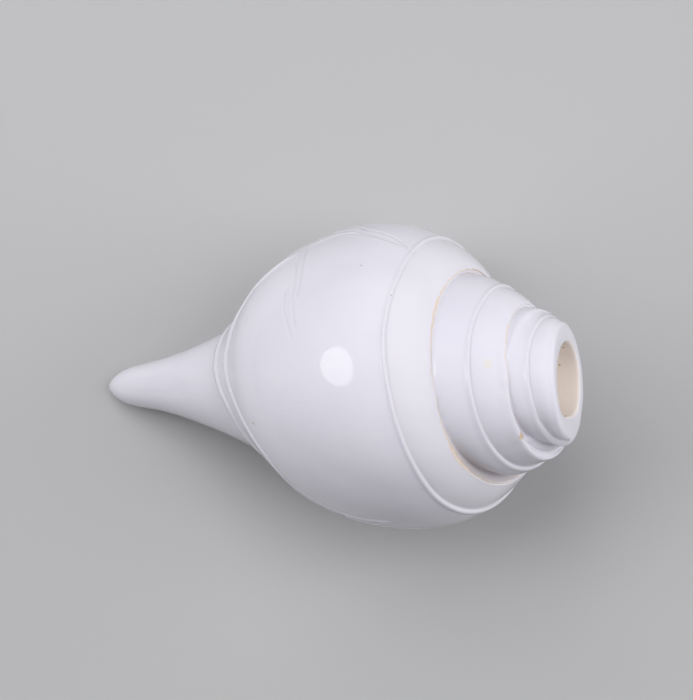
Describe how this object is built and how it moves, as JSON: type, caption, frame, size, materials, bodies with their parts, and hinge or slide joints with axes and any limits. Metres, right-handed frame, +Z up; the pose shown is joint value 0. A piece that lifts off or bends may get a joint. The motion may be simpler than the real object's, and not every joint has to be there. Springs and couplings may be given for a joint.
{
  "type": "blowing conch shell",
  "caption": "Right-handed coiled chank shell with the spire tip cut off as a blow hole, lying on its aperture side.",
  "frame": {"origin": "centre of the bottom of the bounding box, on the surface the shell rests on", "axes": "+X towards the cut end of the spire, +Z up, the canal reaching to -X"},
  "size_m": [0.1418, 0.0862, 0.0743],
  "materials": {
    "polished_shell": "polished white shell, cream inside and along the sutures"
  },
  "bodies": {
    "root": {"shell": "polished_shell"}
  },
  "joints": []
}
